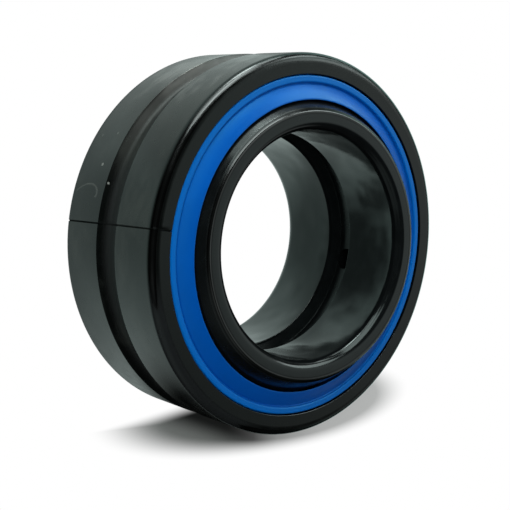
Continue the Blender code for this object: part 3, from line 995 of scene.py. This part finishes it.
def make_floor_material(settings):
    """White ground that takes the rings' shadow, with a painted shadow along the rings' foot and painted
    dark reflections.

    To the camera the shadow shows inside an ellipse below the rings, up to a sloping line along its top, and
    is partly washed white towards the right. The rest, and what the camera sees through the bore, is as
    white as the background. A painted shadow darkens the ground's colour in a line along the rings' foot. In
    the steel the ground is white outside the dark places, which are painted reflections seen only by glossy
    rays, some of them painted shade at the rings' foot.
    """
    material, tree, shader = new_material("stage_floor")
    _, flat, radius, _ = ring_axes(tree, 0.0)
    rays = add_node(tree, "ShaderNodeLightPath").outputs
    upwards = vector_node(tree, "DOT_PRODUCT", flat, PICTURE_UP)
    leftwards = vector_node(tree, "DOT_PRODUCT", flat, PICTURE_LEFT)
    shadow = from_oval(
        tree, flat, (-settings.shadow_down, -settings.shadow_right),
        (settings.shadow_width, settings.shadow_height))
    shadow_top = math_node(tree, "ADD", upwards, product(tree, leftwards, SHADOW_TOP_SLOPE))
    in_bore = remap(tree, radius, BORE_RADIUS, SPHERE_RADIUS, 1.0, 0.0)
    open_ground = largest(
        tree, eased(tree, shadow, *SHADOW_RIM), eased(tree, leftwards, *SHADOW_RIGHT),
        eased(tree, shadow_top, *SHADOW_TOP), product(tree, rays["Is Camera Ray"], in_bore))
    # Painted shadow: the ground's colour darkened in a line along the rings' foot
    painted_contact_shadow = difference(tree, product(tree, leftwards, CONTACT_SLOPE), upwards)
    painted_contact_shadow = product(tree, eased(tree, painted_contact_shadow, *CONTACT_WIDTH), remap(tree, leftwards, *CONTACT_END))

    # Painted reflections: dark places that only glossy rays see, some of them painted shade at the rings'
    # foot
    at_top = math_node(
        tree, "MINIMUM", eased(tree, upwards, *DARK_TOP_START), remap(tree, upwards, *DARK_TOP_END))
    outside = math_node(tree, "GREATER_THAN", radius, SPHERE_RADIUS)
    dark = largest(
        tree, eased(tree, from_oval(tree, flat, DARK_FOOT_PLACE, DARK_FOOT_SIZE), *DARK_FOOT), at_top,
        eased(tree, leftwards, *DARK_LEFT), eased(tree, upwards, *DARK_BOTTOM),
        product(tree, remap(tree, radius, *DARK_RING), outside))
    for up, left, start, end, amount in DARK_DISCS:
        away = vector_node(tree, "DISTANCE", flat, picture(up, left))
        dark = largest(tree, dark, eased(tree, away, start, end, amount, 0.0))

    mirrored = rays["Is Glossy Ray"]
    shade = largest(tree, product(tree, mirrored, dark), painted_contact_shadow)
    set_inputs(tree, shader, {
        "Base Color": blend(tree, shade, opaque(settings.floor), DARK_GROUND),
        "Roughness": GROUND_ROUGHNESS, "Specular IOR Level": 0.0})
    seen = largest(tree, rays["Is Camera Ray"], rays["Is Transmission Ray"])
    white_share = largest(
        tree, product(tree, seen, open_ground), product(tree, mirrored, difference(tree, 1.0, dark)))
    white = add_node(tree, "ShaderNodeEmission", {
        "Color": blend(tree, mirrored, WHITE, MIRRORED_WHITE), "Strength": 1.0}).outputs[0]
    mix = add_node(tree, "ShaderNodeMixShader", {0: white_share, 1: shader.outputs[0], 2: white})
    tree.links.new(mix.outputs[0], tree.nodes["Material Output"].inputs["Surface"])
    return material


def make_world(brightness):
    """Dim room light with three glows, to the right and below, and white where the camera sees it."""
    world = bpy.data.worlds.new("studio")
    world.use_nodes = True
    tree = world.node_tree
    way = add_node(tree, "ShaderNodeTexCoord").outputs["Generated"]
    level = ROOM_LEVEL
    for towards, start, amount in ROOM_GLOWS:
        facing = vector_node(tree, "DOT_PRODUCT", way, picture(*towards).normalized())
        level = math_node(tree, "ADD", eased(tree, facing, start, 1.0, 0.0, amount), level)
    room = tree.nodes["Background"]
    set_inputs(tree, room, {"Color": WHITE, "Strength": product(tree, level, brightness)})
    rays = add_node(tree, "ShaderNodeLightPath").outputs
    white = add_node(tree, "ShaderNodeBackground", {"Color": WHITE, "Strength": 1.0})
    mix = add_node(tree, "ShaderNodeMixShader", {
        0: rays["Is Camera Ray"], 1: room.outputs[0], 2: white.outputs[0]})
    tree.links.new(mix.outputs[0], tree.nodes["World Output"].inputs["Surface"])
    bpy.context.scene.world = world


def add_camera():
    """Camera at the photograph's place, with its own right and up directions."""
    data = bpy.data.cameras.new("camera")
    data.lens = CAMERA_LENS
    data.sensor_width = CAMERA_SENSOR
    data.clip_start = CAMERA_NEAREST
    camera = bpy.data.objects.new("camera", data)
    back = CAMERA_RIGHT.cross(CAMERA_UP)
    turn = Matrix((CAMERA_RIGHT, CAMERA_UP, back)).transposed()
    camera.matrix_world = Matrix.Translation(CAMERA_PLACE) @ turn.to_4x4()
    bpy.context.collection.objects.link(camera)
    bpy.context.scene.camera = camera


class BEARING_OT_add_stage(bpy.types.Operator):
    """Add the floor, the lights and the camera"""
    bl_idname = "bearing.add_stage"
    bl_label = "Stage"

    def execute(self, context):
        settings = context.scene.bearing_stage
        half = settings.floor_size / 2
        corners = np.array(((-half, -half), (half, -half), (half, half), (-half, half)))
        places = np.insert(corners, 2, -INNER_FACE, axis=1)
        floor = add_piece("floor", places, [(0, 1, 2, 3)], make_floor_material(settings))
        for name, towards, width, height, on_matt, on_glossy in LAMPS:
            brightness = getattr(settings, f"{name}_strength")
            lamp = area_light(name, picture(*towards), width, height, brightness)
            lamp.visible_diffuse = on_matt
            lamp.visible_glossy = on_glossy
        make_world(settings.room_strength)
        add_camera()
        context.scene.view_settings.view_transform = "Standard"
        return {"FINISHED"}


class BEARING_PT_tools(bpy.types.Panel):
    """Lists the bearing's pieces and their sizes"""
    bl_idname = "BEARING_PT_tools"
    bl_label = "Spherical Plain Bearing"
    bl_space_type = "VIEW_3D"
    bl_region_type = "UI"
    bl_category = "Bearing"

    def draw(self, context):
        for name, (_, operator) in GROUPS.items():
            box = self.layout.box()
            box.operator(operator.bl_idname)
            settings = getattr(context.scene, name)
            for key in settings.bl_rna.properties.keys():
                if key not in ("rna_type", "name"):
                    box.prop(settings, key)


GROUPS = {
    "bearing_outer_ring": (BEARING_PG_outer_ring, BEARING_OT_add_outer_ring),
    "bearing_inner_ring": (BEARING_PG_inner_ring, BEARING_OT_add_inner_ring),
    "bearing_seal": (BEARING_PG_seal, BEARING_OT_add_seals),
    "bearing_stage": (BEARING_PG_stage, BEARING_OT_add_stage),
}
CLASSES = (*(each for pair in GROUPS.values() for each in pair), BEARING_PT_tools)


def register():
    for each in CLASSES:
        bpy.utils.register_class(each)
    for name, (group, _) in GROUPS.items():
        setattr(bpy.types.Scene, name, bpy.props.PointerProperty(type=group))


def unregister():
    for name in GROUPS:
        delattr(bpy.types.Scene, name)
    for each in reversed(CLASSES):
        bpy.utils.unregister_class(each)


def main():
    register()
    bpy.ops.bearing.add_outer_ring()
    bpy.ops.bearing.add_inner_ring()
    bpy.ops.bearing.add_seals()
    bpy.ops.bearing.add_stage()


if __name__ == "__main__":
    main()
